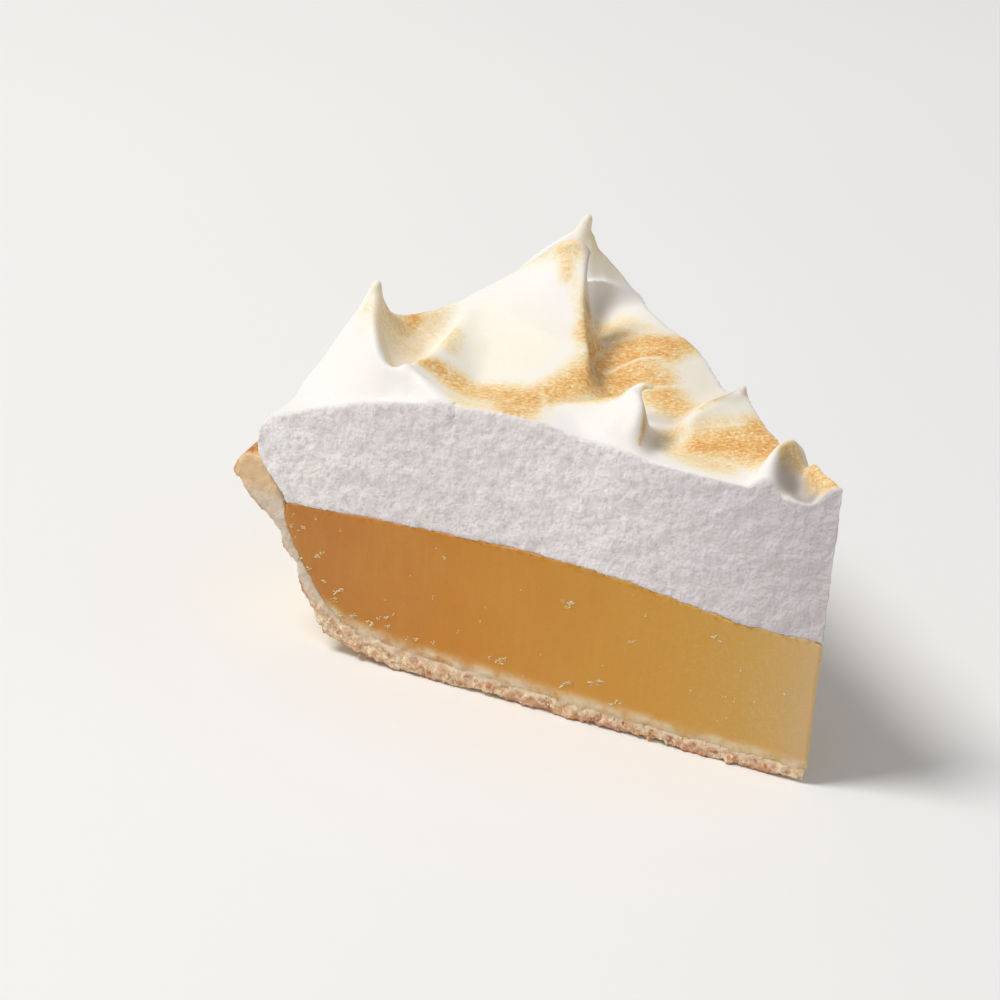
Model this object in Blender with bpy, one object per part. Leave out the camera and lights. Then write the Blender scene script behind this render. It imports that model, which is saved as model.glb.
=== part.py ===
# A slice of lemon meringue pie: an eighth of a round pie, cut from the rim to the middle.
# Three pieces meet at the cuts: a pastry crust, a set lemon filling and a layer of meringue in peaks.
#
# Metres, +Z up. The slice rests on its flat base at z = 0. Its tip, which was the middle of the pie,
# points along +X, the two cuts stand at equal angles to the X axis, and the origin is under the
# middle of the slice. A place on the slice is given by its distance from the tip's upright line,
# its bearing in degrees from the slice's middle line (towards -Y is negative) and its height.

import math

import bmesh
import bpy
import numpy as np
from mathutils import Vector

MM = 0.001

SLICE_ANGLE = math.radians(45.0)
RIM_RADIUS = 115.1 * MM
RIM_HEIGHT = 34.0 * MM
BASE_RADIUS = 78.0 * MM
BASE_THICKNESS = 3.4 * MM
FILLING_HEIGHT = 27.6 * MM
MERINGUE_RADIUS = 108.7 * MM
WALL_RADIUS = 103.5 * MM
PEAK_CEILING = 90.0 * MM
GAP = 0.3 * MM

TIP_X = RIM_RADIUS / 2

CRUST_STEPS = 36
FILLING_STEPS = 14
MERINGUE_STEPS = 18

FLUTES = 6
FLUTE_DEPTH = 1.9 * MM
FLUTE_RISE = 1.6 * MM
FLUTE_START = 109.5 * MM

# The meringue's surface is worked out in mm.
GRID_CELL = 1.45
MERINGUE_LEVEL = 53.5
RIM_SLOPE_WIDTH = 31.0
RIM_SLOPE_DROP = 9.5
RIM_SLOPE_BEND = 1.5
RIM_EDGE_WIDTH = 1.8
RIM_EDGE_DROP = 1.2
VALLEY_ROUNDING = 2.6
CREST_ROUNDING = 2.0
CREST_STEPS = 9
NARROWEST_FLANK = 3.0
BLOCK_MARGIN = 4.0

# Each crest is a curve through a few places: distance, bearing, height, and how far its left and
# right flanks run out before they meet the layer, in mm and degrees. Left and right are as seen
# along the crest from its first place. `hollow` is how concave its left and right flanks are, which
# makes them steeper at the top. `blend` rounds the valley between this crest and those before it.
# `lean` moves the crest's highest part along X and Y.
CRESTS = {
    "outer_peak": dict(
        places=[
            (97.6, -13.2, 66.5, 14, 14.5), (95, -15.6, 63.6, 12, 10), (91.5, -18.2, 60.6, 8, 6),
            (88.5, -19.6, 58.2, 7, 3.5), (86, -19.6, 57.6, 6, 3.2), (83.8, -19, 58, 5, 4),
        ],
        hollow=(1.75, 1.3), lean=(0.5, 0.4),
    ),
    "cut_fin": dict(
        places=[
            (84.6, -18.9, 57.8, 1.8, 1.6), (83.2, -17, 58.4, 2.5, 5), (82.5, -13, 58.7, 4, 8),
            (83.5, -10, 59, 5, 8), (84.8, -6.5, 59.2, 6, 8), (86, -3.5, 60, 6, 8),
        ],
        hollow=(1.5, 1.4), lean=(-1.2, 0), blend=5,
    ),
    "cut_step": dict(
        places=[
            (84.9, -18.6, 58.2, 3, 1.3), (82.4, -19.3, 57.6, 6, 1), (79, -20.4, 56.7, 7, 1),
            (76, -21.3, 55.8, 7, 1), (73.2, -22.2, 54.9, 6, 1), (71.5, -23.2, 54, 5, 1),
        ],
        hollow=(1.3, 0.6), lean=(0, 0), blend=0.6,
    ),
    "middle_back": dict(
        places=[
            (97.5, -11, 61, 9, 10), (95, -8, 59.9, 10, 12), (92.5, -3, 60.6, 12, 18),
            (88.5, 1, 64.3, 12, 24), (85, 4, 69.2, 10, 26), (83, 6, 72, 5.5, 26),
            (80.7, 7.7, 73.8, 3, 24), (78.5, 8.8, 73.3, 2, 22),
        ],
        hollow=(1.8, 1.5), lean=(1.2, 1), blend=8,
    ),
    "middle_front": dict(
        places=[
            (78.5, 8.8, 73.3, 1.6, 22), (74.5, 6.7, 69.5, 1.4, 21), (70.5, 4.3, 66.3, 1.4, 20),
            (66, 1.5, 63, 1.8, 19), (62, -1.5, 60.5, 3.4, 18), (58, -6, 57.5, 7, 16),
        ],
        hollow=(1.2, 1.3), lean=(0.3, 0.3), blend=16,
    ),
    "back_peak": dict(
        places=[
            (98.3, 10, 62, 8, 6), (96.6, 11.4, 65.3, 8, 6), (95, 12.9, 68, 8, 6),
            (93.3, 14.4, 70.4, 9, 6.5), (91.8, 16, 70.5, 10, 5), (91, 17, 67.5, 9, 4),
            (90.2, 18.2, 65.6, 9, 3.5), (89.6, 19.2, 63.9, 7, 3), (88.6, 20.3, 62, 5, 2.5),
            (86.5, 21.8, 58.4, 4, 2), (85, 23.5, 57, 4, 2),
        ],
        hollow=(1.6, 1.9), lean=(0.8, 0.7),
    ),
    "back_fold": dict(
        places=[
            (86, 11.3, 63.8, 8, 11), (86.8, 13.8, 63.4, 8, 11), (87.6, 16.3, 62.6, 8, 11),
            (87.4, 19, 61, 7, 11), (85.5, 21.3, 58.8, 6, 10), (83, 24, 56.6, 5, 10),
        ],
        hollow=(0.7, 6), lean=(4, -3.2),
    ),
    "near_peak_back": dict(
        places=[
            (60, -16.5, 55.6, 5, 6), (55, -16, 56.6, 5, 7), (52.6, -13, 57.6, 5, 8),
            (49.7, -11, 58.7, 4.5, 9), (46.5, -9.4, 60, 4, 10), (43.5, -9, 61.9, 3.5, 10),
        ],
        hollow=(1.6, 1.3), lean=(0.5, 0.2),
    ),
    "near_peak_front": dict(
        places=[
            (43.5, -9, 61.9, 2.5, 10), (41, -11.2, 60.8, 2.2, 9), (39.7, -14.6, 58.6, 2.2, 7),
            (38.6, -18, 55.8, 2.5, 4), (37.6, -21.5, 53.2, 3, 2),
        ],
        hollow=(1.3, 1.2), lean=(0, 0),
    ),
    "far_crest": dict(
        places=[
            (37, 3, 57.4, 3, 4), (37.4, 7, 58.2, 4, 7), (38.2, 12, 58.6, 6, 10),
            (40.3, 24, 58.8, 7, 11),
        ],
        hollow=(1.4, 1.4), lean=(0.8, 0),
    ),
    "tip_peak": dict(
        places=[
            (14.1, -25, 52, 1.5, 1.2), (14.1, -21, 54.6, 2, 1.5), (14.1, -15.5, 58, 2.6, 2.5),
            (14.1, -9, 60.4, 3.6, 3.2), (14, -1, 61.6, 4.5, 3.6), (14.2, 8, 61.2, 5.5, 4),
            (16, 17, 59.2, 6, 5), (17.5, 25, 57, 5, 5),
        ],
        hollow=(1.5, 1.2), lean=(0.7, -0.2),
    ),
    "tip_wave": dict(
        places=[
            (0, 0, 57.6, 2, 2), (3, 14, 57.8, 2.2, 2.2), (6.5, 18, 57.6, 2.4, 2.6),
            (10, 19, 57.8, 3, 3),
        ],
        hollow=(1.3, 1.3), lean=(0, 0),
    ),
}

# Broad swells of the layer: distance, bearing, height above the level, and spread in mm.
SWELLS = [
    (60, -22, 2.6, 15),
    (85, 22, 3.6, 16),
    (60, 20, 4.5, 14),
    (28, 22, 2.2, 10),
    (81, 13, -2.5, 5),
    (36, -8, -1, 4),
    (8, 0, -1.8, 4),
]


# ---- Outlines, as (distance from the tip, height) -------------------------------------------------

def smooth_line(points, steps):
    """A curve through all the points, in even steps between each two."""
    padded = [points[0]] + list(points) + [points[-1]]
    line = []
    for before, start, end, after in zip(padded, padded[1:], padded[2:], padded[3:]):
        p0, p1, p2, p3 = (np.array(p, float) for p in (before, start, end, after))
        for step in range(steps):
            t = step / steps
            line.append(
                0.5 * (2 * p1 + (p2 - p0) * t + (2 * p0 - 5 * p1 + 4 * p2 - p3) * t**2
                       + (3 * p1 - p0 - 3 * p2 + p3) * t**3)
            )
    line.append(np.array(points[-1], float))
    return line


def crust_outside():
    """The crust's lower side: flat base, rounded heel, leaning wall and flared lip."""
    heel = BASE_RADIUS + 16 * MM
    lip = RIM_RADIUS - 2.7 * MM
    curve = [
        (BASE_RADIUS, 0.0),
        (heel, BASE_THICKNESS - 0.4 * MM),
        (heel + 4 * MM, 8.8 * MM),
        (WALL_RADIUS, 18.7 * MM),
        (lip - 4 * MM, RIM_HEIGHT - 8.8 * MM),
        (lip, RIM_HEIGHT - 5.7 * MM),
        (RIM_RADIUS, RIM_HEIGHT - 2.4 * MM),
    ]
    return [(0.0, 0.0), (BASE_RADIUS / 2, 0.0)] + smooth_line(curve, 2)


def crust_inside():
    """The crust's upper side, from the middle of the pie out to the top of the lip."""
    corner = BASE_RADIUS + 14 * MM
    curve = [
        (BASE_RADIUS / 2, BASE_THICKNESS + 0.3 * MM),
        (BASE_RADIUS + 1 * MM, BASE_THICKNESS + 1.8 * MM),
        (corner, BASE_THICKNESS + 4.6 * MM),
        (corner + 5.5 * MM, BASE_THICKNESS + 10.9 * MM),
        (WALL_RADIUS - 0.9 * MM, FILLING_HEIGHT - 5.2 * MM),
        (WALL_RADIUS + 0.7 * MM, FILLING_HEIGHT + 0.4 * MM),
        (MERINGUE_RADIUS - 1.6 * MM, RIM_HEIGHT - 1.4 * MM),
        (MERINGUE_RADIUS + 0.8 * MM, RIM_HEIGHT - 0.4 * MM),
    ]
    return [(0.0, BASE_THICKNESS)] + smooth_line(curve, 2)


def crust_lip():
    """The rounded top edge of the lip, from inside to outside."""
    return [
        (RIM_RADIUS - 3.2 * MM, RIM_HEIGHT),
        (RIM_RADIUS - 0.9 * MM, RIM_HEIGHT - 0.6 * MM),
    ]


def raised(line):
    """The same line, moved off its surface by the gap, with its first point kept at the tip."""
    points = np.array(line)
    along = np.gradient(points, axis=0)
    along /= np.linalg.norm(along, axis=1)[:, None]
    moved = points + GAP * np.column_stack([-along[:, 1], along[:, 0]])
    moved[0, 0] = 0.0
    return [tuple(p) for p in moved]


def filling_top():
    """The top of the filling, which swells a little towards its middle."""
    curve = [
        (0.0, FILLING_HEIGHT),
        (WALL_RADIUS * 0.17, FILLING_HEIGHT - 0.1 * MM),
        (WALL_RADIUS * 0.4, FILLING_HEIGHT + 2.4 * MM),
        (WALL_RADIUS * 0.67, FILLING_HEIGHT + 2.3 * MM),
        (WALL_RADIUS, FILLING_HEIGHT),
    ]
    return smooth_line(curve, 3)


# ---- Making solids --------------------------------------------------------------------------------

def make_material(name, colour, roughness):
    material = bpy.data.materials.new(name)
    material.use_nodes = True
    shader = material.node_tree.nodes["Principled BSDF"]
    shader.inputs["Base Color"].default_value = (*colour, 1.0)
    shader.inputs["Roughness"].default_value = roughness
    shader.inputs["Metallic"].default_value = 0.0
    material.diffuse_color = (*colour, 1.0)
    return material


def add_object(name, bm, collection, material=None):
    mesh = bpy.data.meshes.new(name)
    bm.to_mesh(mesh)
    bm.free()
    obj = bpy.data.objects.new(name, mesh)
    collection.objects.link(obj)
    if material:
        mesh.materials.append(material)
    return obj


def turned_slice(outline, steps):
    """A closed outline, spun about the tip's upright line from one cut to the other."""
    bm = bmesh.new()
    half = SLICE_ANGLE / 2
    corners = [
        bm.verts.new((TIP_X - s * math.cos(half), -s * math.sin(half), z)) for s, z in outline
    ]
    face = bm.faces.new(corners)
    bmesh.ops.spin(
        bm, geom=[face, *face.edges, *face.verts], cent=(TIP_X, 0, 0), axis=(0, 0, 1),
        angle=-SLICE_ANGLE, steps=steps, use_duplicate=False,
    )
    bmesh.ops.remove_doubles(bm, verts=bm.verts, dist=1e-6)
    bmesh.ops.recalc_face_normals(bm, faces=bm.faces)
    return bm


def shade(obj, angle):
    obj.data.shade_smooth()
    obj.data.set_sharp_from_angle(angle=math.radians(angle))


# ---- Crust and filling ----------------------------------------------------------------------------

def flute_lip(bm):
    """Pinches the lip into even flutes, a full one at each cut; inside the flutes it stays round."""
    for vert in bm.verts:
        x = TIP_X - vert.co.x
        distance = math.hypot(x, vert.co.y)
        if distance <= FLUTE_START:
            continue
        part = min(1.0, (distance - FLUTE_START) / (RIM_RADIUS - FLUTE_START))
        turn = (math.atan2(vert.co.y, x) / SLICE_ANGLE + 0.5) * FLUTES
        hollow = (1 - math.cos(2 * math.pi * turn)) / 2
        pinched = distance - FLUTE_DEPTH * hollow * part
        vert.co.x = TIP_X - x * pinched / distance
        vert.co.y *= pinched / distance
        if vert.co.z > RIM_HEIGHT - 6 * MM:
            vert.co.z += FLUTE_RISE * hollow * part


def make_crust(collection):
    outline = crust_outside() + crust_lip()[::-1] + crust_inside()[::-1]
    bm = turned_slice(outline, CRUST_STEPS)
    flute_lip(bm)
    crust = add_object("crust", bm, collection, make_material("crust", (0.60, 0.38, 0.20), 0.75))
    shade(crust, 50)


def make_filling(collection):
    below = [p for p in raised(crust_inside()) if p[1] < FILLING_HEIGHT - GAP]
    outline = below + filling_top()[::-1]
    filling = add_object(
        "lemon_filling", turned_slice(outline, FILLING_STEPS), collection,
        make_material("lemon_filling", (0.55, 0.26, 0.04), 0.3),
    )
    shade(filling, 50)


# ---- Meringue -------------------------------------------------------------------------------------

def plan_place(distance, bearing):
    """X and Y in mm of a place given by its distance and bearing."""
    angle = np.radians(bearing)
    return TIP_X / MM - distance * np.cos(angle), distance * np.sin(angle)


def layer_top(x, y):
    """Height of the meringue between its crests: level, then rounded down to the rim."""
    distance = np.hypot(TIP_X / MM - x, y)
    rim = MERINGUE_RADIUS / MM
    slope = np.clip((distance - rim + RIM_SLOPE_WIDTH) / RIM_SLOPE_WIDTH, 0, 1.2)
    edge = np.clip((distance - rim + RIM_EDGE_WIDTH) / RIM_EDGE_WIDTH, 0, 1)
    height = MERINGUE_LEVEL - RIM_SLOPE_DROP * slope**RIM_SLOPE_BEND - RIM_EDGE_DROP * edge**2
    for swell_distance, bearing, rise, spread in SWELLS:
        sx, sy = plan_place(swell_distance, bearing)
        height = height + rise * np.exp(-((x - sx) ** 2 + (y - sy) ** 2) / spread**2)
    return height


def crest_lift(x, y, crest):
    """How far one crest lifts the layer at each x, y, and which part of its full lift that is."""
    line = np.array(smooth_line(crest["places"], CREST_STEPS))
    cx, cy = plan_place(line[:, 0], line[:, 1])
    lift = np.maximum(line[:, 2] - layer_top(cx, cy), 0)
    tx, ty = np.gradient(cx), np.gradient(cy)
    dx = x[:, None] - cx
    dy = y[:, None] - cy
    away = np.hypot(dx, dy)
    rightness = 0.5 - 0.5 * (tx * dy - ty * dx) / np.maximum(np.hypot(tx, ty) * away, 1e-9)
    left = np.maximum(line[:, 3], NARROWEST_FLANK)
    right = np.maximum(line[:, 4], NARROWEST_FLANK)
    toward_wide = np.where(right > left, rightness, 1 - rightness)
    reach = np.minimum(left, right) + np.abs(right - left) * toward_wide**3
    left_hollow, right_hollow = crest["hollow"]
    hollow = left_hollow + (right_hollow - left_hollow) * rightness
    blunt = np.sqrt(away**2 + CREST_ROUNDING**2) - CREST_ROUNDING
    total = (lift * np.clip(1 - blunt / reach, 0, 1) ** hollow).max(axis=1)
    return total, total / lift.max()


def blend(one, other, rounding):
    """The higher of two lifts, with the valley between them rounded."""
    width = np.minimum(rounding, one + other)
    overlap = np.maximum(width - np.abs(one - other), 0)
    return np.maximum(one, other) + overlap**2 / (4 * np.maximum(width, 1e-9))


def pull_crests(x, y):
    """The x, y and height of the meringue's surface over plan places x, y, all in mm."""
    total = np.zeros_like(x)
    move_x = np.zeros_like(x)
    move_y = np.zeros_like(y)
    for crest in CRESTS.values():
        lift, share = crest_lift(x, y, crest)
        total = blend(total, lift, crest.get("blend", VALLEY_ROUNDING) * (1 - share))
        move_x += crest["lean"][0] * share**3
        move_y += crest["lean"][1] * share**3
    return x + move_x, y + move_y, layer_top(x, y) + total


def meringue_block():
    """A block under the sculpted surface, wider than the slice all round."""
    half_x = RIM_RADIUS / MM / 2 + BLOCK_MARGIN
    half_y = math.sin(SLICE_ANGLE / 2) * RIM_RADIUS / MM + BLOCK_MARGIN
    bm = bmesh.new()
    bmesh.ops.create_grid(
        bm, x_segments=round(2 * half_x / GRID_CELL), y_segments=round(2 * half_y / GRID_CELL), size=1.0,
    )
    top = list(bm.verts)
    x, y, z = pull_crests(
        np.array([v.co.x * half_x for v in top]), np.array([v.co.y * half_y for v in top])
    )
    for vert, place in zip(top, np.column_stack([x, y, z])):
        vert.co = Vector(place) * MM
    below = bmesh.ops.extrude_face_region(bm, geom=bm.faces[:])["geom"]
    for vert in (v for v in below if isinstance(v, bmesh.types.BMVert)):
        vert.co.z = FILLING_HEIGHT / 2
    bmesh.ops.recalc_face_normals(bm, faces=bm.faces)
    return bm


def meringue_mould():
    """The space the meringue fills: over the filling, out across the crust's inner lip."""
    slope = [p for p in raised(crust_inside()) if FILLING_HEIGHT + 2 * GAP < p[1] and p[0] < MERINGUE_RADIUS]
    side = [(MERINGUE_RADIUS, RIM_HEIGHT), (MERINGUE_RADIUS, PEAK_CEILING), (0.0, PEAK_CEILING)]
    return turned_slice(raised(filling_top()) + slope + side, MERINGUE_STEPS)


def make_meringue(collection, cutters):
    mould = add_object("meringue_mould", meringue_mould(), cutters)
    mould.hide_render = True
    mould.display_type = "WIRE"
    meringue = add_object(
        "meringue", meringue_block(), collection, make_material("meringue", (0.86, 0.78, 0.68), 0.6),
    )
    soften = meringue.modifiers.new("soften", "SMOOTH")
    soften.factor = 0.5
    soften.iterations = 2
    cut = meringue.modifiers.new("slice", "BOOLEAN")
    cut.operation = "INTERSECT"
    cut.solver = "EXACT"
    cut.object = mould
    shade(meringue, 50)


def main():
    for obj in list(bpy.data.objects):
        bpy.data.objects.remove(obj)
    slice_collection = bpy.data.collections.new("lemon_meringue_pie_slice")
    cutters = bpy.data.collections.new("cutters")
    bpy.context.scene.collection.children.link(slice_collection)
    bpy.context.scene.collection.children.link(cutters)
    make_crust(slice_collection)
    make_filling(slice_collection)
    make_meringue(slice_collection, cutters)


main()
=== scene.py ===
import math
import random

import bpy
import numpy as np
from mathutils import Euler, Matrix, Vector
from mathutils.bvhtree import BVHTree


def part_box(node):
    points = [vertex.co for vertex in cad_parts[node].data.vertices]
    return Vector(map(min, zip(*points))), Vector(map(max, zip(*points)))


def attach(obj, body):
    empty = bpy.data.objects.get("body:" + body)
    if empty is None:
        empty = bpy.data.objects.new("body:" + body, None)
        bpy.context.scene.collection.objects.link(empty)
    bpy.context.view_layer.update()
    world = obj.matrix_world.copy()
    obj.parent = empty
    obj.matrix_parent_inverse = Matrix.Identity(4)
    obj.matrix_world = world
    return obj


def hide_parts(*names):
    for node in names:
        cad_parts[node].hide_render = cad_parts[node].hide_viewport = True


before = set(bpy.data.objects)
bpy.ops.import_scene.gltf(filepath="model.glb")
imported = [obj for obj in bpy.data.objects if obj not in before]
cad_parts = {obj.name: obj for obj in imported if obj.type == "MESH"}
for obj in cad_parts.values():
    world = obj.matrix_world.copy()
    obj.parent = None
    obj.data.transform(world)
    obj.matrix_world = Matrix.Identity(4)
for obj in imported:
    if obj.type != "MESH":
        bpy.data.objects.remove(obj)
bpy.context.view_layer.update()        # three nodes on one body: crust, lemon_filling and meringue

# A slice of lemon meringue pie. Shapes are worked out in millimetres and written to the meshes in metres.
# A place on the slice is its distance from the tip's upright line, its bearing in degrees from the
# slice's middle line (the cut that faces the camera is the negative one) and its height.
mm = 0.001
crustLow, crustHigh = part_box("crust")
whipLow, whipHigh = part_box("meringue")
curdLow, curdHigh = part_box("lemon_filling")
tipX = crustHigh.x / mm
rimRadius = (crustHigh.x - crustLow.x) / mm
whipRadius = (whipHigh.x - whipLow.x) / mm
wallRadius = (curdHigh.x - curdLow.x) / mm
rimHeight = crustHigh.z / mm
whipBottom = whipLow.z / mm
halfAngle = math.degrees(math.asin(crustHigh.y / mm / rimRadius))
random.seed(7)


# Small helpers

def pickOnly(piece):
    bpy.ops.object.select_all(action="DESELECT")
    piece.select_set(True)
    bpy.context.view_layer.objects.active = piece


def applyModifier(piece, kind, **values):
    modifier = piece.modifiers.new(kind.lower(), kind)
    for key, value in values.items():
        setattr(modifier, key, value)
    pickOnly(piece)
    bpy.ops.object.modifier_apply(modifier=modifier.name)


def readPoints(piece):
    flat = np.empty(len(piece.data.vertices) * 3, np.float32)
    piece.data.vertices.foreach_get("co", flat)
    return flat.reshape(-1, 3).astype(float) / mm


def writePoints(piece, points):
    piece.data.vertices.foreach_set("co", (points * mm).astype(np.float32).ravel())
    piece.data.update()


def readNormals(piece):
    flat = np.empty(len(piece.data.vertices) * 3, np.float32)
    piece.data.vertex_normals.foreach_get("vector", flat)
    return flat.reshape(-1, 3).astype(float)


def planPlace(distance, bearing):
    angle = np.radians(bearing)
    return tipX - distance * np.cos(angle), distance * np.sin(angle)


def sliceMeasure(points):        # distance, bearing, and depth behind the nearer cut, for points in mm
    x = tipX - points[:, 0]
    distance = np.hypot(x, points[:, 1])
    bearing = np.degrees(np.arctan2(points[:, 1], x))
    depth = distance * np.sin(np.radians(halfAngle - np.abs(bearing)))
    return distance, bearing, depth


def flattenCuts(points, depth):        # moves what stands too far out back to depth mm behind each cut
    x, y = math.sin(math.radians(halfAngle)), math.cos(math.radians(halfAngle))
    for side in (1, -1, 1):
        short = np.maximum(depth - (tipX - points[:, 0]) * x - side * points[:, 1] * y, 0)
        points[:, 0] -= short * x
        points[:, 1] += short * side * y
    return points


# splits the faces on the cuts into four, for finer relief there
def refineCuts(piece, within):
    points, normals = readPoints(piece), readNormals(piece)
    distance, bearing, depth = sliceMeasure(points)
    pick = (depth < within) & (points[:, 2] > -1)
    pickOnly(piece)
    bpy.ops.object.mode_set(mode="EDIT")
    bpy.ops.mesh.select_all(action="DESELECT")
    bpy.ops.object.mode_set(mode="OBJECT")
    piece.data.vertices.foreach_set("select", pick)
    piece.data.update()
    bpy.ops.object.mode_set(mode="EDIT")
    bpy.ops.mesh.select_mode(type="VERT")
    bpy.ops.mesh.subdivide(number_cuts=1, ngon=False, quadcorner="INNERVERT")
    bpy.ops.object.mode_set(mode="OBJECT")


def ease(value, low, high):        # 0 below low, 1 above high, smooth between; low may be the larger
    t = np.clip((value - low) / (high - low), 0, 1)
    return t * t * (3 - 2 * t)


def paint(piece, name, values):
    attribute = piece.data.attributes.new(name, "FLOAT", "POINT")
    attribute.data.foreach_set("value", values.astype(np.float32))


# moves the surface in and out with lumps of about size mm, by up to amount mm where weights are 1
def roughen(piece, weights, size, amount, depth=2, kind="CLOUDS", middle=0.5, steps=16):
    group = piece.vertex_groups.new(name="relief")
    level = np.rint(np.clip(weights, 0, 1) * steps).astype(int)
    for step in range(1, steps + 1):
        group.add(np.flatnonzero(level == step).tolist(), step / steps, "REPLACE")
    texture = bpy.data.textures.new("relief", kind)
    texture.noise_scale = size * mm
    if kind == "CLOUDS":
        texture.noise_depth = depth
    applyModifier(piece, "DISPLACE", texture=texture, texture_coords="LOCAL", vertex_group="relief",
                  strength=amount * mm, mid_level=middle)
    piece.vertex_groups.clear()


def smoothLine(places, steps):        # a curve through all the places, in even steps between each two
    padded = np.array([places[0], *places, places[-1]], float)
    line = []
    for p0, p1, p2, p3 in zip(padded, padded[1:], padded[2:], padded[3:]):
        for t in np.arange(steps) / steps:
            line.append(0.5 * (2 * p1 + (p2 - p0) * t + (2 * p0 - 5 * p1 + 4 * p2 - p3) * t**2
                               + (3 * p1 - p0 - 3 * p2 + p3) * t**3))
    line.append(padded[-1])
    return np.array(line)


def copyNode(node, name):        # a merged copy of a CAD node's mesh, for a finer piece
    piece = bpy.data.objects.new(name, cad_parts[node].data.copy())
    bpy.context.scene.collection.objects.link(piece)
    piece.data.materials.clear()
    pickOnly(piece)
    bpy.ops.object.mode_set(mode="EDIT")
    bpy.ops.mesh.select_all(action="SELECT")
    bpy.ops.mesh.remove_doubles(threshold=0.01 * mm)
    bpy.ops.object.mode_set(mode="OBJECT")
    return piece


# distance in mm from each point to a CAD node's surface, or to those of its faces that keep allows
def nearness(points, node, keep=lambda face: True):
    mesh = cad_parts[node].data
    tree = BVHTree.FromPolygons([v.co for v in mesh.vertices], [p.vertices for p in mesh.polygons if keep(p)])
    return np.array([tree.find_nearest(Vector(p * mm))[3] for p in points]) / mm


def cutPlace(distance, height, depth):        # a place in metres, depth mm behind the cut that faces the camera
    x, y = planPlace(distance, -halfAngle + math.degrees(depth / distance))
    return Vector((x, y, height)) * mm


# one joined piece from copies of a small model; each copy is (place, turn, size, tone)
def joinCopies(name, model, copies):
    made = []
    for place, turn, size, tone in copies:
        piece = bpy.data.objects.new(name, model.data.copy())
        bpy.context.scene.collection.objects.link(piece)
        piece.matrix_world = Matrix.LocRotScale(place, Euler(turn), Vector(size) * mm)
        paint(piece, "tone", np.full(len(piece.data.vertices), tone))
        made.append(piece)
    bpy.data.objects.remove(model)
    pickOnly(made[0])
    for piece in made:
        piece.select_set(True)
    bpy.ops.object.transform_apply(location=True, rotation=True, scale=True)
    bpy.ops.object.join()
    return made[0]


def addLump(name, detail, wobble):        # a small uneven ball, 1 m in radius
    bpy.ops.object.select_all(action="DESELECT")
    bpy.ops.mesh.primitive_ico_sphere_add(subdivisions=detail, radius=1.0)
    lump = bpy.context.object
    lump.name = name
    texture = bpy.data.textures.new("wobble", "CLOUDS")
    texture.noise_scale = 0.9
    applyModifier(lump, "DISPLACE", texture=texture, texture_coords="LOCAL", strength=wobble, mid_level=0.5)
    return lump


# Shader helpers

def tint(red, green, blue):        # an sRGB colour, 0 to 255, as the linear colour that shaders take
    values = [c / 255 for c in (red, green, blue)]
    return (*[c / 12.92 if c <= 0.04045 else ((c + 0.055) / 1.055) ** 2.4 for c in values], 1.0)


def addNode(tree, kind, inputs=None, **settings):
    made = tree.nodes.new(kind)
    for key, value in settings.items():
        setattr(made, key, value)
    for socket, value in (inputs or {}).items():
        if isinstance(value, bpy.types.NodeSocket):
            tree.links.new(value, made.inputs[socket])
        else:
            made.inputs[socket].default_value = value
    return made


def calc(tree, operation, first, second=0.0, clamp=False):
    return addNode(tree, "ShaderNodeMath", {0: first, 1: second}, operation=operation,
                   use_clamp=clamp).outputs[0]


def blendColour(tree, factor, first, second, mode="MIX"):
    return addNode(tree, "ShaderNodeMix", {0: factor, 6: first, 7: second}, data_type="RGBA",
                   blend_type=mode).outputs[2]


def remap(tree, value, low, high, toLow=0.0, toHigh=1.0):
    return addNode(tree, "ShaderNodeMapRange", {0: value, 1: low, 2: high, 3: toLow, 4: toHigh}).outputs[0]


def readMask(tree, name):
    return addNode(tree, "ShaderNodeAttribute", attribute_name=name).outputs["Fac"]


# a noise whose lumps are about size mm across
def noiseAt(tree, place, size, detail=2.0, rough=0.5, twist=0.0):
    return addNode(tree, "ShaderNodeTexNoise", {
        "Vector": place, "Scale": 1 / (size * mm), "Detail": detail, "Roughness": rough, "Distortion": twist,
    }).outputs["Fac"]


def rampColour(tree, value, stops):
    made = addNode(tree, "ShaderNodeValToRGB", {0: value})
    ramp = made.color_ramp
    while len(ramp.elements) < len(stops):
        ramp.elements.new(0.5)
    for element, (position, colour) in zip(ramp.elements, stops):
        element.position = position
        element.color = colour
    return made.outputs[0]


# a shader node group; inputs and outputs are (name, socket kind, default) and (name, socket kind)
def startGroup(name, inputs, outputs):
    group = bpy.data.node_groups.new(name, "ShaderNodeTree")
    for label, kind, default in inputs:
        group.interface.new_socket(name=label, in_out="INPUT", socket_type=kind).default_value = default
    for label, kind in outputs:
        group.interface.new_socket(name=label, in_out="OUTPUT", socket_type=kind)
    return group, addNode(group, "NodeGroupInput"), addNode(group, "NodeGroupOutput")


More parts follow.
